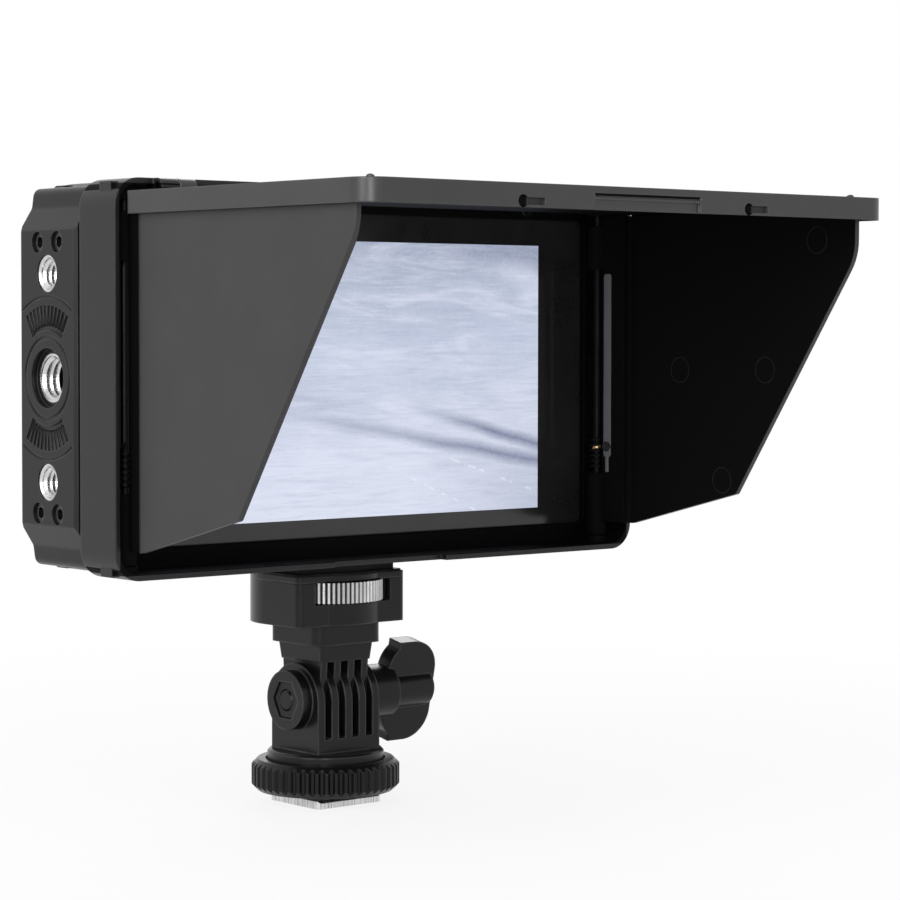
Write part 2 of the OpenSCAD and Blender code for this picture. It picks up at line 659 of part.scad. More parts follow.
module rear_housing() color("#2c2c2c") difference() {
  union() {
    difference() {
      along_y(mon_front, mon_d) casing_plan();
      along_y(mon_front - 1, mon_d - wall + 1) casing_plan(wall);
    }
    // thicker wall behind the long chamfers
    for (s = [0, 1]) translate([0, 0, mon_z]) mirror([0, 0, s])
      along_x(-shell_w / 2 + 1, shell_w - 2) polygon([
      [mon_back - back_ch - wall - 1, mon_h / 2 - 0.5], [mon_back - 0.5, mon_h / 2 - 0.5],
      [mon_back - 0.5, mon_h / 2 - 4.8]]);
    // screw bosses for the board and the battery plate
    board_screw_at() bar_y(board_y + 1.6 + seat, mon_back - board_y - 2, 3);
    // seat of the base insert
    translate([-6, -5.2, mon_bottom]) cube([12, 11.2, 8.4]);
    // button strip
    translate([-58, -4.5, mon_z + mon_h / 2 - 4]) cube([116, 11, 3]);
    // cheeks that carry the dial's axle
    translate([dial_x - 5, button_y - 2.4, dial_z - 1.9]) cube([10, 4.8, 3]);
  }
  // long chamfers along the top and bottom of the back
  for (s = [0, 1]) translate([0, 0, mon_z]) mirror([0, 0, s]) along_x(-shell_w, 2 * shell_w) polygon([
    [mon_back - back_ch, mon_h / 2], [mon_back - back_ch, mon_h], [mon_back + 1, mon_h],
    [mon_back + 1, mon_h / 2 - back_fall * (1 + 1 / back_ch)]]);
  board_screw_at() bar_y(board_y, 6, 1);
  translate([0, 0, mon_bottom - 1]) cylinder(8, 4.4 + seat, 4.4 + seat);
  // keyhole for the button shafts and the dial
  for (x = button_x) translate([x, button_y, mon_z + mon_h / 2 - 6])
    cylinder(8, button_r + 0.15, button_r + 0.15);
  translate([dial_x - 2, button_y - 6.3, mon_z + mon_h / 2 - 8]) cube([4, 12.6, 12]);
  bar_x(dial_x - 4, 8, 0.8 + fit, button_y, dial_z);
  // socket mouths in the bottom
  port_cut(hdmi_in_x, 15.6, 6.2);
  port_cut(hdmi_out_x, 15.6, 6.2);
  port_cut(usb_x, 8.6, 3.8);
  for (x = [phone_x, dc_x]) translate([x, port_y, mon_bottom - 1]) cylinder(4, 4.1, 4.1);
  // speaker grille and vents in the back
  for (i = [-2 : 2], k = [-1 : 1]) bar_y(mon_back - 4, 6, 0.8, speaker_x + i * 3, speaker_z + k * 3);
  for (i = [0 : 5]) translate([40, mon_back - 4, mon_z - 18 + i * 6]) cube([14, 6, 1.8]);
  // screws that hold the bezel's rim
  housing_screw_at() bar_y(-3, 12, 1.1);
  housing_screw_at() bar_y(-1.2, 4, 2.1);
}

button_y = 1.2;
button_r = 3;
button_x = [-50, -38, -26];
dial_x = 44;
dial_z = mon_z + mon_h / 2 - 4.4;
port_y = 3.9;
hdmi_in_x = -44;
hdmi_out_x = -24;
phone_x = -57;
dc_x = 50;
usb_x = 28;
speaker_x = -46;
speaker_z = mon_z - 14;
board_y = -1.9;

module port_cut(x, w, d) translate([x, port_y, mon_bottom + 2]) cube([w, d, 8], center = true);

module board_screw_at() for (sx = [-1, 1], sz = [-1, 1])
  translate([sx * (shell_w / 2 - 12.5), 0, mon_z + sz * (mon_h / 2 - 13.8)]) children();

module housing_screw_at() for (sx = [-1, 1], sz = [-1, 1])
  translate([sx * (shell_w / 2 - 5), mon_back, mon_z + sz * (mon_h / 2 - 8.3)]) children();

module housing_screws() color("#1c1c1c") housing_screw_at() difference() {
  union() {
    bar_y(-1.1, 1.0, 1.95);
    bar_y(-7, 6, 0.95);
  }
  bar_y(-0.9, 2, 0.9, 0, 0);
}

// The board, with its main chips on the back
module main_board() color("#1e5a34") difference() {
  union() {
    along_y(board_y, 1.6) translate([0, mon_z]) square([shell_w - 15, mon_h - 17.6], center = true);
    for (c = [[-18, 8, 15, 15, 1.4], [8, 12, 11, 11, 1.2], [28, -12, 9, 7, 1.6], [-2, -14, 12, 6, 2.2]])
      along_y(board_y + 1.5, c[4]) translate([c[0], mon_z + c[1]]) square([c[2], c[3]], center = true);
  }
  board_screw_at() bar_y(board_y - 1, 5, 1.25);
  // room for the dial
  translate([dial_x, 0, dial_z]) cube([6, 20, 13], center = true);
}

module board_screws() color("silver") board_screw_at() {
  bar_y(board_y - 1.1 , 1.1, 2.2);
  bar_y(board_y - 0.2, 4.6, 0.95);
}

module speaker() color("#3b3b40") {
  bar_y(mon_back - wall - 4.0, 3.9, 8, speaker_x, speaker_z);
  bar_y(mon_back - wall - 5.6, 1.7, 4.2, speaker_x, speaker_z);
}

// ---------- side plates ----------

// Section of a side plate across the monitor, as the right one
module side_section() {
  x0 = shell_w / 2 + seat;
  x1 = mon_w / 2;
  h = side_flat / 2;
  polygon(rounded([
    [x0, -mon_h / 2 + 1.1], [x1 - side_slope - 0.6, -mon_h / 2 + 1.1], [x1 - side_slope, -h - 5.1],
    [x1, -h], [x1, h], [x1 - side_slope, h + 5.1], [x1 - side_slope - 0.6, mon_h / 2 - 1.1],
    [x0, mon_h / 2 - 1.1]], [0, 2, 2, 0.8, 0.8, 2, 2, 0]));
}

module side_plate() translate([0, 0, mon_z]) difference() {
  along_y(mon_front, side_d) side_section();
  // chamfered long edges
  for (s = [-1, 1]) translate([mon_w / 2, side_mid + s * side_d / 2, 0]) rotate(45)
    cube([1, 1, mon_h], center = true);
  for (s = [-1, 1]) {
    bar_x(shell_w / 2 - 1, side_t + 3, 3.95 + seat, side_mid, s * insert_z);
    for (y = [-1, 1]) {
      bar_x(mon_w / 2 - 3.2, 6, 2.25, side_mid + y * 3.8, s * 28.9);
      bar_x(mon_w / 2 - 7, 6, 1.3, side_mid + y * 3.8, s * 28.9);
    }
  }
  bar_x(shell_w / 2 - 1, side_t + 3, 5.25 + seat, side_mid, 0);
  bar_x(mon_w / 2 - 1.5, 9, 6.4, side_mid, 0);
  // a raised ring is left between the counterbore and this groove
  translate([mon_w / 2 - 0.35, side_mid, 0]) rotate([0, 90, 0]) difference() {
    cylinder(2, 9.1, 9.1, $fn = 72);
    translate([0, 0, -1]) cylinder(4, 8.3, 8.3, $fn = 72);
  }
  // two fans of radial grooves, and a thin arc line beyond them
  for (f = [0, 180], i = [0 : fan_teeth - 1])
    translate([mon_w / 2 - 0.5, side_mid, 0]) rotate([f + 68 * (i + 0.5) / fan_teeth - 34, 0, 0])
      translate([0, -0.55, 10.2]) cube([2, 1.1, 5.3]);
  for (f = [0, 180]) translate([mon_w / 2 - 0.3, side_mid, 0]) rotate([f, 0, 0]) rotate([0, 90, 0])
    intersection() {
      difference() {
        cylinder(2, 17.6, 17.6, $fn = 96);
        translate([0, 0, -1]) cylinder(4, 17.1, 17.1, $fn = 96);
      }
      translate([-20, -9.8, -1]) cube([10, 19.6, 4]);
    }
}

module right_side_plate() color("#2e2e2e") side_plate();
module left_side_plate() color("#2e2e2e") mirror([1, 0, 0]) side_plate();

module side_plate_screws() color("#1b1b1b") both_sides()
  for (s = [-1, 1], y = [-1, 1]) translate([mon_w / 2 - 3.1, side_mid + y * 3.8, mon_z + s * 28.9])
    rotate([0, 90, 0]) difference() {
      union() {
        cylinder(2.4, 2.2, 2.2);
        translate([0, 0, -3.5]) cylinder(3.6, 1.25, 1.25);
      }
      translate([0, 0, 1]) cylinder(2, 1.3, 1.3, $fn = 6);
    }

module quarter_inserts() color("#c8c8c8") both_sides()
  for (s = [-1, 1]) translate([mon_w / 2 - insert_l - 0.3, side_mid, mon_z + s * insert_z])
    rotate([0, 90, 0]) difference() {
      cylinder(insert_l, 3.95, 3.95);
      translate([0, 0, -1]) cylinder(insert_l + 2, insert_r, insert_r);
      translate([0, 0, insert_l - 0.4]) cylinder(0.5, insert_r, insert_r + 0.5);
    }

module centre_inserts() color("#c8c8c8") both_sides()
  translate([mon_w / 2 - 6.1, side_mid, mon_z]) rotate([0, 90, 0]) difference() {
    cylinder(4.7, 5.25, 5.25);
    translate([0, 0, -1]) cylinder(7, 4.7625, 4.7625);
  }

module base_insert() color("#c8c8c8") difference() {
  translate([0, 0, mon_bottom]) cylinder(7, 4.4, 4.4);
  translate([0, 0, mon_bottom - 1]) cylinder(9, insert_r, insert_r);
}

// ---------- battery plate ----------

plate_w = 39;
plate_h = 62;
plate_t = 6.2;

module battery_plate() color("#282828") difference() {
  union() {
    along_y(mon_back + seat, 2.2) translate([0, mon_z]) round_rect(plate_w + 12, plate_h + 8, 3);
    along_y(mon_back + seat, plate_t) translate([0, mon_z]) square([plate_w, plate_h], center = true);
  }
  // the slide's undercut down both edges, with entry notches
  for (s = [-1, 1]) {
    translate([s * plate_w / 2 - 1.4, mon_back + 2.2, mon_z - plate_h / 2 - 1]) cube([2.8, 1.9, plate_h - 8]);
    for (z = [-14, 14]) translate([s * plate_w / 2 - 1.4, mon_back + 2.2, mon_z + z - 3.6])
      cube([2.8, 6, 7.2]);
  }
  // contact slots
  for (x = [-1, 0, 1]) translate([x * 6 - 1.1, mon_back + 2.4, mon_z + plate_h / 2 - 12]) cube([2.2, 8, 14]);
  // track and pocket of the latch
  translate([-4 - slip, mon_back + 2.4, mon_z - plate_h / 2 - 1]) cube([8 + 2 * slip, 9, 17.6]);
  plate_screw_at() bar_y(-plate_t - 1, 12, 1.1);
  plate_screw_at() bar_y(-1.2, 4, 2.1);
}

module plate_screw_at() for (s = [-1, 1], z = [-1, 1])
  translate([s * 13, mon_back + plate_t, mon_z + z * 24]) children();

module plate_screws() color("#1c1c1c") plate_screw_at() difference() {
  union() {
    bar_y(-1.15, 1.0, 1.95);
    bar_y(-5.8, 5, 1.05);
  }
  // cross recess
  for (a = [0, 90]) rotate([0, a, 0]) translate([-1.2, -0.7, -0.3]) cube([2.4, 2, 0.6]);
}

module battery_contacts() color("#c9a24a") for (x = [-1, 0, 1])
  translate([x * 6 - 0.9, mon_back + 2.45, mon_z + plate_h / 2 - 11.8]) {
    cube([1.8, 1.6, 9.5]);
    translate([0, 1.4, 0]) cube([1.8, 1.2, 5.5]);
  }

module battery_latch() color("#3a3a3a") translate([-4, mon_back + 2.45, mon_z - plate_h / 2 + 2.2])
difference() {
  union() {
    cube([8, 2.4, 10]);
    translate([0, 2.3, 1]) cube([8, 1.6, 3.4]);
    translate([1.5, 2.3, 6]) cube([5, 2.6, 3]);
  }
  for (i = [0 : 2]) translate([-1, 3.5, 1.5 + i]) cube([10, 1, 0.45]);
}

module latch_spring() color("silver") translate([0, mon_back + 3.75, mon_z - plate_h / 2 + 12.35]) {
  echo(latch_spring_gap = own_gap(coil(1.1, 3.6, 4, 0), 0.22));
  wire(coil(1.1, 3.6, 4, 0), 0.22);
}

// ---------- sockets, under the casing ----------

// A sheet-metal shell, open downwards, with a tongue inside
module hdmi(x) color("#b8b8bc") translate([x, port_y, mon_bottom + 0.2]) difference() {
  translate([0, 0, 5.5]) cube([15, 5.6, 11], center = true);
  difference() {
    translate([0, 0, 5]) cube([14.2, 4.8, 10.4], center = true);
    translate([0, 0.3, 6]) cube([11.4, 1.6, 9], center = true);
  }
}

module hdmi_in() hdmi(hdmi_in_x);
module hdmi_out() hdmi(hdmi_out_x);

module usb_port() color("#b8b8bc") translate([usb_x, port_y, mon_bottom + 0.2]) difference() {
  translate([0, 0, 3]) cube([8, 3.2, 6], center = true);
  difference() {
    translate([0, 0, 2.6]) cube([7.3, 2.5, 5.6], center = true);
    translate([0, 0.2, 3.2]) cube([5.2, 0.7, 5], center = true);
  }
}

module headphone_jack() color("#2a2a2a") translate([phone_x, port_y, mon_bottom + 0.1]) difference() {
  cylinder(10, 4, 4);
  translate([0, 0, -1]) cylinder(10, 1.8, 1.8);
}

module dc_jack() color("#1a1a1a") translate([dc_x, port_y, mon_bottom + 0.1]) difference() {
  cylinder(10, 4, 4);
  difference() {
    translate([0, 0, -1]) cylinder(9.5, 2.85, 2.85);
    translate([0, 0, 1]) cylinder(9, 1, 1);
  }
}

// ---------- keys ----------

// A round key with a shaft and a flange under the casing wall
module key(x) translate([x, button_y, mon_z + mon_h / 2]) difference() {
  union() {
    translate([0, 0, -4.4]) cylinder(4.9, button_r, button_r);
    translate([0, 0, 0.5]) cylinder(0.3, button_r, button_r - 0.3);
    translate([0, 0, -5.6]) cylinder(1.3, button_r + 0.8, button_r + 0.8);
  }
}

module power_button() color("#3c3c3c") key(button_x[0]);
module input_button() color("#3c3c3c") key(button_x[1]);
module menu_button() color("#3c3c3c") key(button_x[2]);

module menu_dial() color("#343434") difference() {
  translate([dial_x - 1.7, button_y, dial_z]) rotate([0, 90, 0]) linear_extrude(3.4) polygon([
    for (i = [0 : 29], k = [0 : 2])
      let (a = 12 * (i + k / 3), r = k < 2 ? 5.6 : 5.15) r * [cos(a), sin(a)]]);
  bar_x(dial_x - 5, 10, 0.8 + fit, button_y, dial_z);
}

module dial_axle() color("silver") bar_x(dial_x - 3.6, 7.2, 0.8, button_y, dial_z);

// ---------- drawing ----------

shoe_foot();
foot_stud();
lock_ring();
lower_fork();
hex_nut();
tilt_washer();
tilt_bolt();
wing_knob();
upper_neck();
swivel_box();
cap_plate();
mount_pad();
thumb_wheel();
quarter_screw();
hood_frame();
hood_screws();
lid_pins();
hood_lid();
left_flap_pin();
left_flap();
left_flap_spring();
left_hinge_screw();
right_flap_pin();
right_flap();
right_flap_spring();
right_hinge_screw();
front_bezel();
screen_glass();
lcd_panel();
backlight();
main_board();
board_screws();
speaker();
rear_housing();
housing_screws();
left_side_plate();
right_side_plate();
side_plate_screws();
quarter_inserts();
centre_inserts();
base_insert();
battery_plate();
plate_screws();
battery_contacts();
battery_latch();
latch_spring();
hdmi_in();
hdmi_out();
headphone_jack();
dc_jack();
usb_port();
power_button();
input_button();
menu_button();
menu_dial();
dial_axle();
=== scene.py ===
"""Looks of the camera field monitor with its sun hood.

First the measures and materials, then the pieces that the CAD model leaves out (the lit picture, threads,
key marks and small hinge parts), and last the studio and the camera.
"""

import json
import math

import bmesh
import bpy
from mathutils import Matrix, Vector


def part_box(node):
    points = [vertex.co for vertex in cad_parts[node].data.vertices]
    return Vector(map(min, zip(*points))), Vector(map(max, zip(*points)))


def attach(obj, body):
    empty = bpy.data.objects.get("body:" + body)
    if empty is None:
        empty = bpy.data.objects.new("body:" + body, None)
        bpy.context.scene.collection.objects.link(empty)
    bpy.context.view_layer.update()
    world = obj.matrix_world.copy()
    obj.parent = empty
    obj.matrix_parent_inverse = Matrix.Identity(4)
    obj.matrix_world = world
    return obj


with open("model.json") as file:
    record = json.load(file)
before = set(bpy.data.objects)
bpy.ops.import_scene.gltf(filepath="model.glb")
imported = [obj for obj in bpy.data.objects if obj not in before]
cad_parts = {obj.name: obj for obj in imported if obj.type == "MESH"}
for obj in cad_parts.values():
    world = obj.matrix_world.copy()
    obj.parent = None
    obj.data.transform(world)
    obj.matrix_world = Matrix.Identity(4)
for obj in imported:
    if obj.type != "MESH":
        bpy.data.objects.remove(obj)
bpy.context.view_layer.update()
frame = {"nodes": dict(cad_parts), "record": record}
nodes = frame["nodes"]
MM = 0.001


# ---------- measures taken from the CAD nodes, in metres ----------

def centre(node):
    low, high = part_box(node)
    return (low + high) / 2


def reach(node):
    """How far a node on the left or right side reaches from the middle plane."""
    low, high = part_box(node)
    return max(abs(low.x), abs(high.x))


LIT_EDGE = 2 * MM  # the panel's unlit border
lit_low, lit_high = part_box("lcd_panel")
LIT_X = (lit_low.x + LIT_EDGE, lit_high.x - LIT_EDGE)
LIT_Z = (lit_low.z + LIT_EDGE, lit_high.z - LIT_EDGE)
GLASS_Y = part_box("screen_glass")[0].y
SIDE_PLATE = centre("left_side_plate")


# ---------- node trees ----------

BEVEL_SAMPLES = 6
# How alike the rounded and the flat normal are where an edge starts to show, and where it shows in full
EDGE_LIKENESS = (0.995, 0.93)
NOISE_RANGE = (0.3, 0.7)  # where most of a noise's values lie


class Tree:
    """Makes and links the shader nodes of one material or world."""

    def __init__(self, owner):
        self.tree = owner.node_tree
        self.tree.nodes.clear()

    def new(self, kind):
        return self.tree.nodes.new("ShaderNode" + kind)

    def put(self, node, name, value):
        """Links a socket to a node's input, or sets the input's own value."""
        if isinstance(value, bpy.types.NodeSocket):
            self.tree.links.new(value, node.inputs[name])
        else:
            node.inputs[name].default_value = value

    def finish(self, shader, kind="OutputMaterial"):
        self.put(self.new(kind), "Surface", shader.outputs[0])

    # vectors

    def position(self):
        """The point in the object's own frame, in metres, which is the CAD frame at rest."""
        return self.new("TexCoord").outputs["Object"]

    def normal(self):
        return self.new("TexCoord").outputs["Normal"]

    def split(self, vector):
        """The X, Y and Z of a vector."""
        node = self.new("SeparateXYZ")
        self.put(node, 0, vector)
        return node.outputs

    def vector_math(self, operation, a, b=None):
        node = self.new("VectorMath")
        node.operation = operation
        self.put(node, 0, a)
        if b is not None:
            self.put(node, 1, b)
        return node.outputs

    # numbers and masks

    def math(self, operation, a, b=None):
        node = self.new("Math")
        node.operation = operation
        self.put(node, 0, a)
        if b is not None:
            self.put(node, 1, b)
        return node.outputs[0]

    def both(self, a, b):
        return self.math("MULTIPLY", a, b)

    def either(self, a, b):
        return self.math("MAXIMUM", a, b)

    def over(self, a, b):
        """1 where a is greater than b."""
        return self.math("GREATER_THAN", a, b)

    def within(self, value, half):
        """1 where a value lies nearer to zero than half."""
        return self.math("LESS_THAN", self.math("ABSOLUTE", value), half)

    def ramp(self, value, low, high, a=0.0, b=1.0):
        """Goes from a to b as the value goes from low to high, and stays there beyond them."""
        node = self.new("MapRange")
        node.clamp = True
        self.put(node, "Value", value)
        self.put(node, "From Min", low)
        self.put(node, "From Max", high)
        self.put(node, "To Min", a)
        self.put(node, "To Max", b)
        return node.outputs[0]

    def vary(self, noise, a=0.0, b=1.0):
        """Spreads a noise from a to b."""
        return self.ramp(noise, *NOISE_RANGE, a, b)

    # colours and textures

    def mix(self, factor, a, b, blend="MIX"):
        node = self.new("Mix")
        node.data_type = "RGBA"
        node.blend_type = blend
        self.put(node, 0, factor)
        self.put(node, 6, a)
        self.put(node, 7, b)
        return node.outputs[2]

    def noise(self, vector, scale, detail, rough, distortion=0.0):
        node = self.new("TexNoise")
        self.put(node, "Vector", vector)
        self.put(node, "Scale", scale)
        self.put(node, "Detail", detail)
        self.put(node, "Roughness", rough)
        self.put(node, "Distortion", distortion)
        return node.outputs["Fac"]

    def bump(self, height, strength, distance, normal=None):
        node = self.new("Bump")
        self.put(node, "Height", height)
        self.put(node, "Strength", strength)
        self.put(node, "Distance", distance)
        if normal is not None:
            self.put(node, "Normal", normal)
        return node.outputs[0]

    def edges(self, radius):
        """The normal with edges rounded to a radius, and a mask that is 1 along sharp edges."""
        bevel = self.new("Bevel")
        bevel.samples = BEVEL_SAMPLES
        self.put(bevel, "Radius", radius)
        rounded = bevel.outputs[0]
        flat = self.new("NewGeometry").outputs["Normal"]
        likeness = self.vector_math("DOT_PRODUCT", rounded, flat)["Value"]
        return rounded, self.ramp(likeness, *EDGE_LIKENESS)

    def surface(self, colour, roughness, normal=None, metallic=0.0, **sockets):
        """The main shader; other inputs are given by name, with _ for a space."""
        shader = self.new("BsdfPrincipled")
        self.put(shader, "Base Color", colour)
        self.put(shader, "Roughness", roughness)
        self.put(shader, "Metallic", metallic)
        if normal is not None:
            self.put(shader, "Normal", normal)
        for name, value in sockets.items():
            self.put(shader, name.replace("_", " "), value)
        self.finish(shader)


def new_material(name, kind=Tree):
    material = bpy.data.materials.new(name)
    material.use_nodes = True
    return material, kind(material)


def grey(value):
    """A grey with a touch of blue."""
    return (value, value, value * 1.02, 1.0)


# ---------- plastics ----------
# Noise scales are in cells per metre.

GRAIN_HEIGHT = 0.05 * MM
GRAIN_ROUGHNESS = 0.12
BLOTCH_SCALE = 80.0
BLOTCH_TINT = (0.9, 1.12)
BLOTCH_ROUGHNESS = (-0.012, 0.018)
HIGHLIGHT_AND_WEAR_SCALE = 120.0
# Edges that go paler in patches: a painted highlight, patchy like wear
HIGHLIGHT_AND_WEAR_RANGE = (0.35, 0.7)
HIGHLIGHT_AND_WEAR_LEAST = 0.25
HIGHLIGHT_AND_WEAR_PALER = 2.6
# Painted shade on the faces of an inside mask: their near-black grey, added roughness and lower specular
# level
PAINTED_SHADE_GREY = 0.0025
INSIDE_ROUGHER = 0.3
INSIDE_SPECULAR = 0.05


def moulded(name, base, rough, grain=1800.0, depth=0.25, radius=0.35, highlight_and_wear_share=0.35, inside=None,
            specular=0.5, highlight_and_wear_lift=0.02):
    """Moulded plastic: fine spark grain, soft blotches, and rounded edges that go paler as a painted
    highlight with patchy wear.

    grain and depth are the grain's scale and strength, and radius is the edges', in millimetres.
    Edges go paler by highlight_and_wear_lift, over a share of them that highlight_and_wear_share gives: a
    painted highlight, patchy like wear.
    inside(t, position) gives a mask of the faces that get painted shade: near black, and matt.
    """
    material, t = new_material(name)
    position = t.position()
    rounded, edge = t.edges(radius * MM)
    blotch = t.noise(position, BLOTCH_SCALE, 3.0, 0.6)
    fine = t.noise(position, grain, 2.0, 0.6)
    patchy = t.ramp(t.noise(position, HIGHLIGHT_AND_WEAR_SCALE, 3.0, 0.6), *HIGHLIGHT_AND_WEAR_RANGE, HIGHLIGHT_AND_WEAR_LEAST, 1.0)

    colour = t.mix(1.0, grey(base), t.vary(blotch, *BLOTCH_TINT), "MULTIPLY")
    # painted highlight on the edges, with patchy wear
    highlight_and_wear = t.math("MULTIPLY", t.both(edge, patchy), highlight_and_wear_share)
    colour = t.mix(highlight_and_wear, colour, grey(base * HIGHLIGHT_AND_WEAR_PALER + highlight_and_wear_lift))
    broad = t.vary(blotch, *(rough + change for change in BLOTCH_ROUGHNESS))
    grainy = t.vary(fine, -GRAIN_ROUGHNESS * depth, GRAIN_ROUGHNESS * depth)
    roughness = t.math("ADD", broad, grainy)
    if inside is not None:
        # painted shade: the masked faces go near black, rougher and less glossy
        mask = inside(t, position)
        colour = t.mix(mask, colour, grey(PAINTED_SHADE_GREY))
        roughness = t.math("ADD", roughness, t.math("MULTIPLY", mask, INSIDE_ROUGHER))
        specular = t.ramp(mask, 0.0, 1.0, specular, INSIDE_SPECULAR)
    t.surface(colour, roughness, t.bump(fine, depth, GRAIN_HEIGHT, rounded), Specular_IOR_Level=specular)
    return material


BEHIND_FACE = 0.02 * MM  # just behind a front face, so that the face itself stays outside
FLAP_WALL = 1.25 * MM
FLAP_LEAF = 5.4 * MM  # leaf and knuckles, from a side shade's rear end
FRAME_WALL = 1.15 * MM
BEZEL_LIP = 1.5 * MM

# The recesses for the catches in the lid's front, darkened with painted shade: a round hole, and a slit
# from it towards the right
HOLE_X = (-33.4 * MM, 28.6 * MM)
HOLE_Z = 1.25 * MM  # above the lid's lower rim
HOLE_R = 1.28 * MM
HOLE_DEPTH = 1.0 * MM
SLIT_X = 2.8 * MM  # from the hole's middle to the slit's
SLIT_HALF = (2.85 * MM, 0.72 * MM)
# How much of the hole's painted shade the slit gets
SLIT_SHADE = 0.45
UNDERSIDE_SHADE = (-0.45, -0.7)  # the normal's Z where the underside's painted shade starts, and where it is full


def flap_painted_shade(name):
    """Painted shade on a side shade's inside: its inner face, and its leaf and knuckles, go near black and
    matt.
    """
    wall = reach(name) - FLAP_WALL
    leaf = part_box(name)[1].y - FLAP_LEAF

    def mask(t, position):
        x, y, _ = t.split(position)
        return t.either(t.within(x, wall), t.over(y, leaf))
    return mask


def lid_painted_shade(t, position):
    """Painted shade on the lid: its downward faces, and the insides of the two recesses in its front."""
    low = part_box("hood_lid")[0]
    x, y, z = t.split(position)
    up = t.math("SUBTRACT", z, low.z + HOLE_Z)
    behind = t.over(y, low.y + BEHIND_FACE)
    recessed = t.both(behind, t.math("LESS_THAN", y, low.y + HOLE_DEPTH))
    mask = t.ramp(t.split(t.normal())[2], *UNDERSIDE_SHADE)
    for hole_x in HOLE_X:
        across = t.math("SUBTRACT", x, hole_x)
        squared = t.math("ADD", t.math("MULTIPLY", across, across), t.math("MULTIPLY", up, up))
        hole = t.math("LESS_THAN", squared, HOLE_R ** 2)
        along = t.math("SUBTRACT", across, SLIT_X)
        slit = t.both(t.within(along, SLIT_HALF[0]), t.within(up, SLIT_HALF[1]))
        dark = t.either(hole, t.math("MULTIPLY", slit, SLIT_SHADE))
        mask = t.either(mask, t.both(recessed, dark))
    return mask


def frame_painted_shade(t, position):
    """Painted shade on the hood frame's inner walls: all that lies within its outer wall and behind its
    front face.
    """
    low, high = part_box("hood_frame")
    middle = (low + high) / 2
    x, y, z = t.split(position)
    inside_x = t.within(x, high.x - FRAME_WALL)
    inside_z = t.within(t.math("SUBTRACT", z, middle.z), high.z - middle.z - FRAME_WALL)
    return t.both(t.both(inside_x, inside_z), t.over(y, low.y + BEHIND_FACE))


def bezel_gap_shade(t, position):
    """Painted shade on the bezel's outer edge, deep in the gap between the hood frame and the side plates.
    """
    x = t.split(position)[0]
    return t.over(t.math("ABSOLUTE", x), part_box("front_bezel")[1].x - BEZEL_LIP)


PLASTICS = {
    "mount_plastic": dict(base=0.006, rough=0.25, depth=0.06, radius=0.6, highlight_and_wear_share=0.8, specular=0.23,
                          highlight_and_wear_lift=0.06),
    "ring_plastic": dict(base=0.005, rough=0.26, depth=0.06, highlight_and_wear_share=0.5, specular=0.2, highlight_and_wear_lift=0.015),
    "casing_plastic": dict(base=0.012, rough=0.36, radius=0.5, specular=0.32),
    "bezel_plastic": dict(base=0.016, rough=0.42, inside=bezel_gap_shade, specular=0.35),
    "plate_plastic": dict(base=0.007, rough=0.30, depth=0.15, highlight_and_wear_share=0.8, specular=0.24, highlight_and_wear_lift=0.05),
    "frame_plastic": dict(base=0.010, rough=0.33, depth=0.15, radius=0.6, highlight_and_wear_share=0.45, inside=frame_painted_shade,
                          specular=0.29),
    "lid_plastic": dict(base=0.023, rough=0.33, depth=0.15, radius=0.6, inside=lid_painted_shade),
    "left_flap_plastic": dict(base=0.025, rough=0.45, radius=0.4, inside=flap_painted_shade("left_flap"),
                              specular=0.36),
    "right_flap_plastic": dict(base=0.025, rough=0.45, radius=0.4, inside=flap_painted_shade("right_flap"),
                               specular=0.36),
    "key_plastic": dict(base=0.03, rough=0.4, radius=0.4),
    "socket_plastic": dict(base=0.012, rough=0.3, radius=0.2, highlight_and_wear_share=0.2),
    "strip_grey": dict(base=0.10, rough=0.38, radius=0.1, highlight_and_wear_share=0.2, specular=0.4),
    "print_white": dict(base=0.5, rough=0.5, depth=0.1, radius=0.02, highlight_and_wear_share=0.0),
    "speaker_grey": dict(base=0.03, rough=0.55),
    "white_sheet": dict(base=0.7, rough=0.6, highlight_and_wear_share=0.0),
    "pad_rubber": dict(base=0.012, rough=0.75, grain=1200.0, depth=0.5, highlight_and_wear_share=0.1, specular=0.2),
}


# ---------- metals ----------

MARKS_SCALE = 900.0
MARKS_HEIGHT = 0.02 * MM
MARKS_STRENGTH = 0.2
MARKS_ROUGHNESS = (-0.08, 0.1)
PLAIN_MARKS, STREAKED_MARKS = 3.0, 2.2  # scales of the marks' noise without and with streaks
STREAK_RANGE = (0.52, 0.36)  # the noise where a streak starts, and where it is darkest
METAL_BLOTCH_SCALE = 160.0
# A metal's tones, as shares of its own brightness
DARKER, BRIGHTER, STREAK, EDGE_HIGHLIGHT = 0.8, 1.12, 0.3, 1.4
METAL_EDGE_HIGHLIGHT = 0.5  # how far edges go to that tone, a painted highlight
# The thumb wheel's grooves, darkened as painted shade: depths below its rim where the shade starts and is
# full, and its grey
GROOVE_DEPTHS = (0.12 * MM, 0.34 * MM)
GROOVE_SHADE_GREY = 0.06


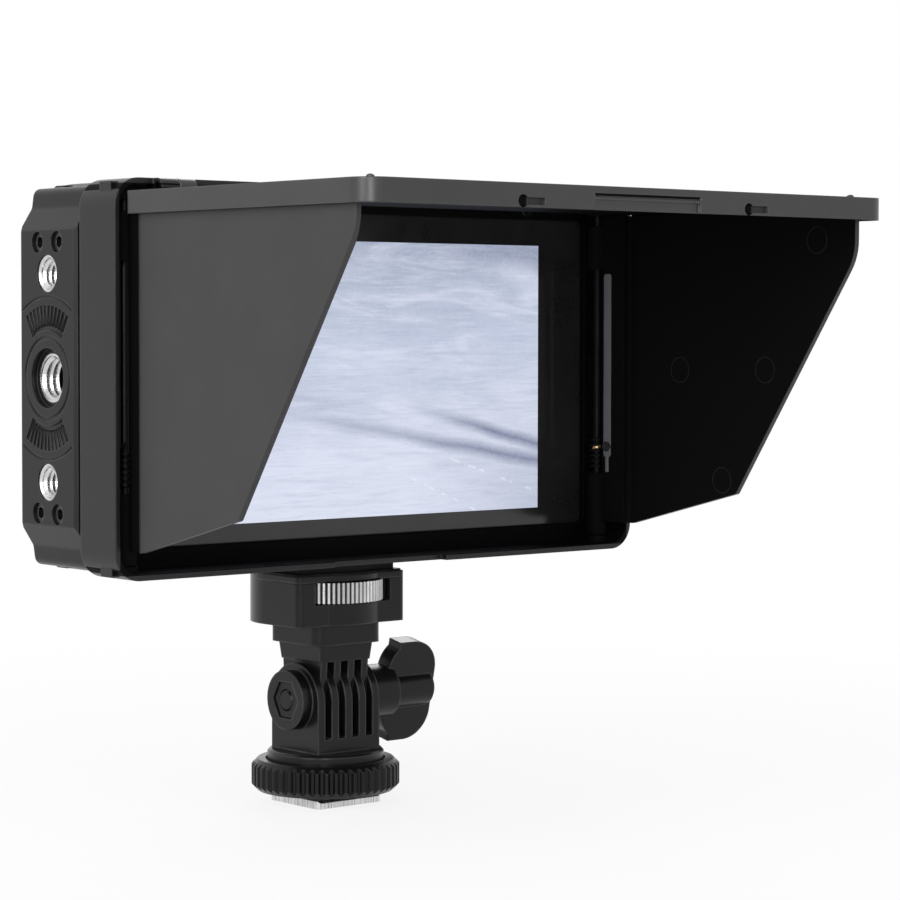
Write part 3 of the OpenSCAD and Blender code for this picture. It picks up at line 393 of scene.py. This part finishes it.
def metal(name, base, rough, axis=None, stretch=60.0, radius=0.2, tint=(1.0, 1.0, 1.0), streaks=0.0,
          grooves=None):
    """Bare metal: fine marks, drawn out along an axis by a stretch, and edges brightened as a painted
    highlight.

    streaks is how much darker the marks get. grooves(t, position) gives a mask of grooves that get painted
    shade.
    """
    def shade(factor):
        return (*(min(base * factor, 1.0) * part for part in tint), 1.0)

    material, t = new_material(name)
    position = t.position()
    mapping = t.new("Mapping")
    t.put(mapping, "Vector", position)
    t.put(mapping, "Scale", [MARKS_SCALE / stretch if letter == axis else MARKS_SCALE for letter in "XYZ"])
    rounded, edge = t.edges(radius * MM)
    marks = t.noise(mapping.outputs[0], STREAKED_MARKS if streaks else PLAIN_MARKS, 3.0, 0.6)
    blotch = t.noise(position, METAL_BLOTCH_SCALE, 3.0, 0.6)

    colour = t.mix(t.vary(blotch), shade(DARKER), shade(BRIGHTER))
    if streaks:
        colour = t.mix(t.ramp(marks, *STREAK_RANGE, 0.0, streaks), colour, shade(STREAK))
    # painted highlight: edges go brighter
    colour = t.mix(t.math("MULTIPLY", edge, METAL_EDGE_HIGHLIGHT), colour, shade(EDGE_HIGHLIGHT))
    if grooves is not None:
        # painted shade in the grooves
        colour = t.mix(grooves(t, position), colour, grey(GROOVE_SHADE_GREY))
    roughness = t.vary(marks, *(rough + change for change in MARKS_ROUGHNESS))
    t.surface(colour, roughness, t.bump(marks, MARKS_STRENGTH, MARKS_HEIGHT, rounded), metallic=1.0)
    return material


def wheel_groove_shade(t, position):
    """Painted shade in the grooves between the thumb wheel's ridges, by their distance from its axis, which
    is Z.
    """
    flat = t.vector_math("MULTIPLY", position, (1.0, 1.0, 0.0))["Vector"]
    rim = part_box("thumb_wheel")[1].x
    return t.ramp(t.vector_math("LENGTH", flat)["Value"], *(rim - depth for depth in GROOVE_DEPTHS))


METALS = {
    "steel": dict(base=0.72, rough=0.34, axis="Z", stretch=20.0, streaks=0.7),
    "insert_steel": dict(base=0.66, rough=0.24, radius=0.12),
    "socket_steel": dict(base=0.5, rough=0.3, axis="Z", radius=0.15),
    "wheel_aluminium": dict(base=0.5, rough=0.28, axis="Z", radius=0.1, grooves=wheel_groove_shade),
    "bright_spring": dict(base=0.4, rough=0.3, radius=0.06),
    "brass": dict(base=0.62, rough=0.25, tint=(1.0, 0.68, 0.34), radius=0.1),
    "dark_steel": dict(base=0.09, rough=0.34, radius=0.15),
    "hinge_screw_steel": dict(base=0.055, rough=0.4, radius=0.1),
    "blackened_steel": dict(base=0.028, rough=0.32),
    "spring_steel": dict(base=0.014, rough=0.45, radius=0.08),
    "pin_steel": dict(base=0.012, rough=0.45, axis="Z"),
}


# ---------- glass, board and the lit picture ----------

def glass_material():
    """Cover glass over its black print: deep, glossy, with faint smears."""
    material, t = new_material("black_glass")
    smear = t.noise(t.position(), 70.0, 4.0, 0.65, 0.4)
    rounded, edge = t.edges(0.15 * MM)
    colour = t.mix(t.vary(smear), grey(0.015), grey(0.022))
    # painted highlight: paler along sharp edges
    colour = t.mix(edge, colour, grey(0.03))
    t.surface(colour, t.ramp(smear, 0.3, 0.75, 0.14, 0.22), rounded)
    return material


def board_material():
    """Green circuit board with paler, slightly raised traces."""
    material, t = new_material("circuit_board")
    cells = t.new("TexVoronoi")
    cells.feature = "DISTANCE_TO_EDGE"
    t.put(cells, "Vector", t.position())
    t.put(cells, "Scale", 420.0)
    trace = t.ramp(cells.outputs["Distance"], 0.04, 0.09, 1.0, 0.0)
    colour = t.mix(trace, (0.012, 0.07, 0.035, 1.0), (0.03, 0.14, 0.07, 1.0))
    t.surface(colour, 0.35, t.bump(trace, 0.3, 0.03 * MM))
    return material


# Drawn-out noises: turn in degrees, scale across, scale up, detail, roughness and distortion
RIPPLE_NOISE = (4, 0.035, 0.62, 4.0, 0.6, 0.25)
FINE_NOISE = (9, 0.12, 1.5, 4.0, 0.65, 0.5)
SWOOSH_NOISE = (-52, 0.035, 0.15, 4.0, 0.55, 1.1)
DOT_NOISE = (0, 0.55, 0.3, 1.0, 0.5, 0.0)
# The slopes' lean, height at the middle and waver, and the heights of the lowest and highest colour
SLOPE_LINE = (0.10, 0.0, 14.0)
SLOPE_REACH = (-31.0, 31.0)
# Their colour by height, from 0 at the lowest to 1 at the highest
SLOPE_COLOURS = (
    (0.0, (0.68, 0.72, 0.85)),
    (0.22, (0.66, 0.70, 0.83)),
    (0.42, (0.56, 0.61, 0.75)),
    (0.62, (0.54, 0.59, 0.74)),
    (0.82, (0.43, 0.48, 0.61)),
    (1.0, (0.36, 0.40, 0.53)),
)
MIST = (0.70, 0.74, 0.88, 1.0)
FURROW = (0.33, 0.37, 0.50, 1.0)
GRIT = (0.30, 0.34, 0.47, 1.0)
POWDER = (0.80, 0.84, 0.93, 1.0)
SPARKLE = (0.80, 0.83, 0.93, 1.0)
CORNER = (0.36, 0.40, 0.53, 1.0)
TRACK = (0.85, 0.88, 0.97, 1.0)
DUSK = (0.165, 0.195, 0.315, 1.0)

# Soft shadow bands: slope, height at the middle, half width, the places between which the band fades in,
# strength, how far it wavers, colour. Lengths are in millimetres.
BANDS = (
    (-0.169, -10.6, 2.3, -40.0, 40.0, 0.85, 1.6, DUSK),
    (-0.25, -2.3, 2.1, 14.0, 40.0, 0.9, 1.6, DUSK),
    (-0.16, -6.0, 4.0, 8.0, -20.0, 0.4, 5.0, (0.36, 0.37, 0.50, 1.0)),
    (-0.10, 33.5, 5.0, 10.0, 52.0, 0.75, 3.0, (0.20, 0.235, 0.35, 1.0)),
)
# Dotted tracks, in the same order and without a colour
TRACKS = (
    (-0.32, -9.7, 0.38, 10.0, 30.0, 0.7, 0.5),
    (-0.424, -15.8, 0.38, -4.0, 20.0, 0.7, 0.5),
)


class Picture(Tree):
    """The lit picture's nodes. It is laid out in millimetres from the middle of the lit area."""

    def __init__(self, owner):
        super().__init__(owner)
        mapping = self.new("Mapping")
        mapping.vector_type = "TEXTURE"
        self.put(mapping, "Location", (sum(LIT_X) / 2, 0.0, sum(LIT_Z) / 2))
        self.put(mapping, "Scale", (MM, MM, MM))
        self.put(mapping, "Vector", self.position())
        self.point = mapping.outputs[0]
        self.x, _, self.z = self.split(self.point)
        self.wave = self.noise(self.point, 0.055, 3.0, 0.55, 0.4)

    def drawn_out(self, turn, across, up, detail, rough, distortion):
        """Noise that is turned by an angle in degrees, and has its own scale across and up."""
        mapping = self.new("Mapping")
        self.put(mapping, "Rotation", (0.0, math.radians(turn), 0.0))
        self.put(mapping, "Scale", (across, 1.0, up))
        self.put(mapping, "Vector", self.point)
        return self.noise(mapping.outputs[0], 1.0, detail, rough, distortion)

    def above(self, slope, start, waver):
        """Height above a slanted line that wavers."""
        line = self.math("ADD", self.math("MULTIPLY", self.x, slope), start)
        bend = self.math("MULTIPLY", self.math("SUBTRACT", self.wave, 0.5), waver)
        return self.math("ADD", self.math("SUBTRACT", self.z, line), bend)

    def band(self, slope, start, half, fade_from, fade_to, strength, waver):
        near = self.ramp(self.math("ABSOLUTE", self.above(slope, start, waver)), half, 0.0)
        return self.both(near, self.ramp(self.x, fade_from, fade_to, 0.0, strength))

    def slopes(self):
        """The ground colour: pale slopes, greyer towards the top."""
        node = self.new("ValToRGB")
        stops = node.color_ramp.elements
        while len(stops) < len(SLOPE_COLOURS):
            stops.new(0.5)
        for stop, (at, colour) in zip(stops, SLOPE_COLOURS):
            stop.position = at
            stop.color = (*colour, 1.0)
        self.put(node, 0, self.ramp(self.above(*SLOPE_LINE), *SLOPE_REACH))
        return node.outputs[0]


def picture_material():
    """The lit picture: pale bluish slopes, greyer towards the top, with soft shadow bands and no figure.

    Each layer has a mask and a colour, and goes over the ones before it.
    """
    material, t = new_material("lit_picture", Picture)
    ripple = t.drawn_out(*RIPPLE_NOISE)
    fine = t.drawn_out(*FINE_NOISE)
    swoosh = t.drawn_out(*SWOOSH_NOISE)
    dots = t.ramp(t.drawn_out(*DOT_NOISE), 0.5, 0.56)
    powder = t.noise(t.point, 1.4, 3.0, 0.7)
    corner = t.both(t.ramp(t.x, 15.0, 56.0), t.ramp(t.z, -6.0, -30.0, 0.0, 0.55))

    layers = [
        (t.ramp(swoosh, 0.46, 0.66, 0.0, 0.7), MIST),
        (t.ramp(ripple, 0.5, 0.75, 0.0, 0.3), FURROW),
        (t.ramp(fine, 0.5, 0.72, 0.0, 0.22), GRIT),
        (t.ramp(fine, 0.46, 0.3, 0.0, 0.25), SPARKLE),
        (corner, CORNER),
    ]
    layers += [(t.band(*band), colour) for *band, colour in BANDS]
    layers += [(t.both(t.band(*track), dots), TRACK) for track in TRACKS]
    layers += [(t.ramp(powder, 0.42, 0.75, 0.0, 0.14), POWDER)]
    colour = t.slopes()
    for mask, top in layers:
        colour = t.mix(mask, colour, top)
    t.surface((0.01, 0.01, 0.012, 1.0), 0.12, Emission_Color=colour, Emission_Strength=1.0,
              Specular_IOR_Level=0.3)
    return material


# ---------- who wears what ----------

MATERIALS = {name: moulded(name, **look) for name, look in PLASTICS.items()}
MATERIALS |= {name: metal(name, **look) for name, look in METALS.items()}
MATERIALS["cover_glass"] = glass_material()
MATERIALS["board_green"] = board_material()
MATERIALS["lit_panel"] = picture_material()

# The nodes that look different from their slot's material
OWN = {
    "hood_frame": "frame_plastic",
    "hood_lid": "lid_plastic",
    "left_flap": "left_flap_plastic",
    "right_flap": "right_flap_plastic",
    "front_bezel": "bezel_plastic",
    "lock_ring": "ring_plastic",
    "hex_nut": "blackened_steel",
    "tilt_bolt": "blackened_steel",
    "left_hinge_screw": "hinge_screw_steel",
    "right_hinge_screw": "hinge_screw_steel",
    "latch_spring": "bright_spring",
}


def dress_nodes():
    """Every CAD node gets its own material, or else its slot's."""
    slots = {subpart["node"]: subpart["material_slot"] for subpart in frame["record"]["subparts"]}
    for name, obj in nodes.items():
        obj.data.materials.clear()
        obj.data.materials.append(MATERIALS[OWN.get(name, slots[name])])


# ---------- new pieces ----------

RIDGE_ROOT, RIDGE_CREST = 0.46, 0.07  # half widths of a thread's ridge, as shares of its pitch


class Shape:
    """Gathers several closed solids into one piece's mesh."""

    def __init__(self):
        self.verts, self.faces = [], []

    def loft(self, rings, matrix=Matrix.Identity(4), closed=False):
        """A solid through rings of as many points each, capped at both ends or closed to a loop."""
        size = len(rings[0])
        starts = [len(self.verts) + size * i for i in range(len(rings))]
        self.verts += [matrix @ Vector(point) for ring in rings for point in ring]
        pairs = list(zip(starts, starts[1:]))
        if closed:
            pairs.append((starts[-1], starts[0]))
        else:
            self.faces += [range(start, start + size) for start in (starts[0], starts[-1])]
        for a, b in pairs:
            for i in range(size):
                k = (i + 1) % size
                self.faces.append((a + i, b + i, b + k, a + k))

    def turned(self, profile, count, matrix):
        """A closed profile of (radius, height) points, turned about Z in a number of steps."""
        angles = [2 * math.pi * i / count for i in range(count)]
        rings = [[(r * math.cos(a), r * math.sin(a), h) for r, h in profile] for a in angles]
        self.loft(rings, matrix, closed=True)

    def ridge(self, radius, depth, pitch, length, matrix, steps=28):
        """A helical thread ridge that stands inwards from a bore's wall, cut off flat at both ends."""
        root, crest = RIDGE_ROOT * pitch, RIDGE_CREST * pitch
        section = ((radius, -root), (radius - depth, -crest), (radius - depth, crest), (radius, root))
        count = int(length / pitch * steps)
        rings = []
        for i in range(count + 1):
            a = 2 * math.pi * i / steps
            middle = length * i / count
            rings.append([(r * math.cos(a), r * math.sin(a), min(max(middle + h, 0.0), length))
                          for r, h in section])
        self.loft(rings, matrix)

    def prism(self, outline, low, high, matrix=Matrix.Identity(4)):
        """An outline of (x, y) points, raised from one height to another."""
        self.loft([[(x, y, z) for x, y in outline] for z in (low, high)], matrix)

    def block(self, low, high):
        outline = [(low[0], low[1]), (high[0], low[1]), (high[0], high[1]), (low[0], high[1])]
        self.prism(outline, low[2], high[2])


def piece(name, shape, body, slot, finish=None):
    """A new piece of the object. Its finish is a material's name, and else that of its slot."""
    mesh = bpy.data.meshes.new(name)
    mesh.from_pydata([tuple(v) for v in shape.verts], [], [tuple(f) for f in shape.faces])
    bm = bmesh.new()
    bm.from_mesh(mesh)
    bmesh.ops.recalc_face_normals(bm, faces=bm.faces)
    bm.to_mesh(mesh)
    bm.free()
    obj = bpy.data.objects.new(name, mesh)
    bpy.context.scene.collection.objects.link(obj)
    obj.data.materials.append(MATERIALS[finish or slot])
    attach(obj, body)


def towards(axis, at):
    """A matrix that turns Z to the axis and moves the origin to a point."""
    turn = Vector((0, 0, 1)).rotation_difference(Vector(axis)).to_matrix().to_4x4()
    return Matrix.Translation(Vector(at)) @ turn


def add_picture():
    """The lit picture stands a hair proud of the glass, so that the glass's black print doesn't hide it."""
    s = Shape()
    s.block((LIT_X[0], GLASS_Y - 0.03 * MM, LIT_Z[0]), (LIT_X[1], GLASS_Y + 0.1 * MM, LIT_Z[1]))
    piece("lit_picture", s, "monitor", "lit_panel")


# Threads of the side inserts, the depth of their bores and the plain stretch at the mouth of each
QUARTER_THREAD = dict(radius=3.2 * MM, depth=0.62 * MM, pitch=1.27 * MM)
QUARTER_BORE = 5.4 * MM
QUARTER_LEAD = 0.45 * MM
QUARTER_INSERT_R = 3.95 * MM  # from an insert's middle to the end of the row
CENTRE_THREAD = dict(radius=4.79 * MM, depth=0.75 * MM, pitch=1.5875 * MM, steps=36)
CENTRE_BORE = 4.6 * MM
CENTRE_LEAD = 0.2 * MM


def add_threads():
    """Two 1/4 inch threads and one 3/8 inch thread on each side."""
    low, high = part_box("quarter_inserts")
    rows = [(z, high.x, QUARTER_BORE, QUARTER_LEAD, QUARTER_THREAD)
            for z in (low.z + QUARTER_INSERT_R, high.z - QUARTER_INSERT_R)]
    rows.append((SIDE_PLATE.z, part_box("centre_inserts")[1].x, CENTRE_BORE, CENTRE_LEAD, CENTRE_THREAD))
    s = Shape()
    for side in (-1, 1):
        for z, mouth, bore, lead, thread in rows:
            foot = (side * (mouth - bore), SIDE_PLATE.y, z)
            s.ridge(length=bore - lead, matrix=towards((side, 0, 0), foot), **thread)
    piece("insert_threads", s, "monitor", "insert_steel")


# The flat strip on a side shade's leaf and its narrow end, in millimetres: half width, how far its corners
# are cut off, and its foot and top above the hinge screw
STRIP_PARTS = ((1.2, 0.45, -2.5, 41.0), (0.5, 0.2, -6.1, -2.3))
# Its outlines from the side on the leaf to the side that shows: how far each lies outside the screw's outer
# end in millimetres, and its width and height as shares of the full ones
STRIP_LEVELS = ((0.05, 1.0, 1.0), (-0.22, 1.0, 1.0), (-0.34, 0.82, 0.995))


def add_leaf_strip(side, name):
    """A flat strip along a side shade's leaf, with a narrow end."""
    screw = centre(name + "_hinge_screw")
    outside = reach(name + "_hinge_screw")
    s = Shape()
    for half, cut, foot, top in STRIP_PARTS:
        half_height = (top - foot) / 2
        middle_z = screw.z + (foot + top) / 2 * MM
        corner = [(half, half_height - cut), (half - cut, half_height)]
        quarter = [*corner, *((-y, z) for y, z in reversed(corner))]
        outline = [*quarter, *((-y, -z) for y, z in quarter)]
        s.loft([[(side * (outside + out * MM), screw.y + y * wide * MM, middle_z + z * tall * MM)
                 for y, z in outline] for out, wide, tall in STRIP_LEVELS])
    piece(name + "_leaf_strip", s, name + "_flap", "hood_plastic", "strip_grey")


BUSH_STEPS = 24
BUSH_BORE_R = 0.98 * MM
BUSH_R = 1.24 * MM
BUSH_HALF = 0.9 * MM
BUSH_CHAMFER = 0.06 * MM
BUSH_DOWN = 0.3 * MM  # below the hinge screw's middle


def add_hinge_bush(side, name):
    """A bush on a side shade's pin, inside the spring's coil. The right one is of brass, and shows."""
    pin = centre(name + "_flap_pin")
    at = (pin.x, pin.y, centre(name + "_hinge_screw").z - BUSH_DOWN)
    radius, height = BUSH_R - BUSH_CHAMFER, BUSH_HALF - BUSH_CHAMFER
    profile = [(BUSH_BORE_R, -BUSH_HALF), (radius, -BUSH_HALF), (BUSH_R, -height),
               (BUSH_R, height), (radius, BUSH_HALF), (BUSH_BORE_R, BUSH_HALF)]
    s = Shape()
    s.turned(profile, BUSH_STEPS, Matrix.Translation(at))
    piece(name + "_hinge_bush", s, name + "_flap", "brass", "brass" if side > 0 else "pin_steel")


def add_hinge_parts():
    for side, name in ((-1, "left"), (1, "right")):
        add_leaf_strip(side, name)
        add_hinge_bush(side, name)


# Faint ejector rings on the side shades' inner faces, in millimetres: places, as the distance from the
# rear end and the height above the floor, and a section of (radius, height above the face)
MOULD_MARK_PLACES = ((-71.9, 128.2), (-29.3, 99.0), (-56.4, 99.4), (-43.1, 74.0))
MOULD_MARK_SECTION = ((2.78, -0.03), (2.86, 0.07), (2.96, 0.07), (3.04, -0.03))
MOULD_MARK_STEPS = 48
MOULD_FACE = 1.3 * MM  # from a side shade's outermost face to its inner one


def add_mould_marks():
    profile = [(r * MM, h * MM) for r, h in MOULD_MARK_SECTION]
    for side, name in ((-1, "left_flap"), (1, "right_flap")):
        x = side * (reach(name) - MOULD_FACE)
        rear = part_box(name)[1].y
        s = Shape()
        for y, z in MOULD_MARK_PLACES:
            place = (x, rear + y * MM, z * MM)
            s.turned(profile, MOULD_MARK_STEPS, towards((-side, 0, 0), place))
        piece(name + "_mould_marks", s, name, "hood_plastic", "pad_rubber")


# Plain printed marks, in millimetres from a key's middle: straight bars as their two corners, an arrow tip
# and an arc, which goes from one angle to another in degrees
MARK_HALF = 0.03  # half of a mark's thickness; its lower half is sunk in the key
KEY_BARS = {
    "power_button": [(-0.15, 0.4, 0.15, 2.0)],
    "input_button": [(-1.6, -1.2, 1.6, -0.9), (-1.6, -0.9, -1.3, 1.2), (1.3, -0.9, 1.6, 1.2),
                     (-0.15, 0.3, 0.15, 1.5)],
    "menu_button": [(-1.4, y, 1.4, y + 0.3) for y in (-1.05, -0.15, 0.75)],
}
INPUT_TIP = ((-0.7, 0.3), (0.7, 0.3), (0.0, -0.6))
POWER_ARC_R = (1.35, 1.65)
POWER_ARC = (125, 415)
POWER_ARC_STEPS = 40


def power_arc():
    """The rings of the power mark's open circle."""
    inner, outer = POWER_ARC_R
    start, end = POWER_ARC
    section = ((inner, -MARK_HALF), (outer, -MARK_HALF), (outer, MARK_HALF), (inner, MARK_HALF))
    angles = [math.radians(start + (end - start) * i / POWER_ARC_STEPS) for i in range(POWER_ARC_STEPS + 1)]
    return [[(r * math.cos(a), r * math.sin(a), z) for r, z in section] for a in angles]


def add_key_marks():
    for name, bars in KEY_BARS.items():
        at = centre(name)
        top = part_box(name)[1].z
        on_key = Matrix.Translation((at.x, at.y, top)) @ Matrix.Scale(MM, 4)
        s = Shape()
        for x0, y0, x1, y1 in bars:
            s.prism([(x0, y0), (x1, y0), (x1, y1), (x0, y1)], -MARK_HALF, MARK_HALF, on_key)
        if name == "input_button":
            s.prism(INPUT_TIP, -MARK_HALF, MARK_HALF, on_key)
        if name == "power_button":
            s.loft(power_arc(), on_key)
        piece(name.replace("button", "mark"), s, name, "key_plastic", "print_white")


# ---------- studio ----------

WHITE = (1.0, 1.0, 1.0, 1.0)
WORLD_LIGHT = 0.45  # the world's strength as light, beside 1 where it is seen
FLOOR_HALF = 6.0
FLOOR_DROP = 0.2 * MM
FLOOR_GREY = (0.9, 0.9, 0.9, 1.0)
# Near the object the floor shows more of its shadow: distances in metres, and how much of it is plain white
FLOOR_NEAR, FLOOR_FAR = 0.05, 0.35
FLOOR_WHITE = (0.86, 1.0)

# Name, place, what it points at, width and height in metres, and power in watts
LAMPS = (
    ("key", (-0.75, -0.25, 0.5), (0, 0, 0.1), (0.35, 0.8), 4.6),
    ("front", (-0.3, -0.38, 0.22), (-0.05, -0.08, 0.11), (0.1, 0.36), 0.85),
    ("back", (0.9, 0.9, 0.9), (0, 0, 0.09), (0.8, 0.8), 7.0),
)


def seeing_rays(t):
    """1 for the rays that see the background: from the camera, off gloss or through glass."""
    path = t.new("LightPath")
    mirrored = t.either(path.outputs["Is Glossy Ray"], path.outputs["Is Transmission Ray"])
    return t.either(path.outputs["Is Camera Ray"], mirrored)


def emission_world():
    world = bpy.data.worlds.new("studio")
    bpy.context.scene.world = world
    world.use_nodes = True
    t = Tree(world)
    background = t.new("Background")
    t.put(background, "Color", WHITE)
    t.put(background, "Strength", t.ramp(seeing_rays(t), 0.0, 1.0, WORLD_LIGHT, 1.0))
    t.finish(background, "OutputWorld")


def floor_material():
    """Pale floor that goes over to plain white away from the object."""
    material, t = new_material("floor")
    diffuse = t.new("BsdfDiffuse")
    t.put(diffuse, "Color", FLOOR_GREY)
    glow = t.new("Emission")
    t.put(glow, "Color", WHITE)
    t.put(glow, "Strength", 1.0)
    distance = t.vector_math("LENGTH", t.position())["Value"]
    mix = t.new("MixShader")
    t.put(mix, 0, t.both(seeing_rays(t), t.ramp(distance, FLOOR_NEAR, FLOOR_FAR, *FLOOR_WHITE)))
    t.put(mix, 1, diffuse.outputs[0])
    t.put(mix, 2, glow.outputs[0])
    t.finish(mix)
    return material


def floor():
    r = FLOOR_HALF
    mesh = bpy.data.meshes.new("floor")
    mesh.from_pydata([(-r, -r, 0), (r, -r, 0), (r, r, 0), (-r, r, 0)], [], [(0, 1, 2, 3)])
    obj = bpy.data.objects.new("floor", mesh)
    obj.location.z = -FLOOR_DROP
    bpy.context.scene.collection.objects.link(obj)
    obj.data.materials.append(floor_material())


def lamp(name, at, target, size, power):
    light = bpy.data.lights.new(name, "AREA")
    light.shape = "RECTANGLE"
    light.size, light.size_y = size
    light.energy = power
    obj = bpy.data.objects.new(name, light)
    obj.location = at
    obj.rotation_euler = (Vector(target) - Vector(at)).to_track_quat("-Z", "Y").to_euler()
    bpy.context.scene.collection.objects.link(obj)


# The photograph's camera, from a fit to the object's corners
IMAGE = 900  # the image's side, in pixels
FOCAL = 2816.264  # in pixels
OPTICAL_CENTRE = (442.983, 435.344)  # in pixels, from the image's upper left corner
YAW, PITCH, ROLL = 0.695732, -0.0406024, 0.00160181
FIT_POINT = Vector((0.0, -24.3, 98.0)) * MM  # a point of the CAD frame
FIT_POINT_SEEN = Vector((-11.29875, 13.13994, 625.61666)) * MM  # the same point: right, up and ahead
SENSOR = 36.0  # Blender's sensor width, in millimetres


def camera():
    ahead = Vector((math.sin(YAW) * math.cos(PITCH), math.cos(YAW) * math.cos(PITCH), math.sin(PITCH)))
    level = Vector((math.cos(YAW), -math.sin(YAW), 0.0))
    upright = level.cross(ahead)
    right = math.cos(ROLL) * level + math.sin(ROLL) * upright
    up = math.cos(ROLL) * upright - math.sin(ROLL) * level
    seen = FIT_POINT_SEEN
    at = FIT_POINT - (seen.x * right + seen.y * up + seen.z * ahead)
    data = bpy.data.cameras.new("camera")
    data.sensor_width = SENSOR
    data.lens = SENSOR * FOCAL / IMAGE
    data.shift_x = (IMAGE / 2 - OPTICAL_CENTRE[0]) / IMAGE
    data.shift_y = (OPTICAL_CENTRE[1] - IMAGE / 2) / IMAGE
    data.clip_start = 0.01
    data.clip_end = 50.0
    obj = bpy.data.objects.new("camera", data)
    turn = Matrix((right, up, -ahead)).transposed().to_4x4()
    obj.matrix_world = Matrix.Translation(at) @ turn
    bpy.context.scene.collection.objects.link(obj)
    bpy.context.scene.camera = obj


dress_nodes()
add_picture()
add_threads()
add_key_marks()
add_hinge_parts()
add_mould_marks()
camera()
emission_world()
floor()
for lamp_values in LAMPS:
    lamp(*lamp_values)
bpy.context.scene.view_settings.view_transform = "Standard"
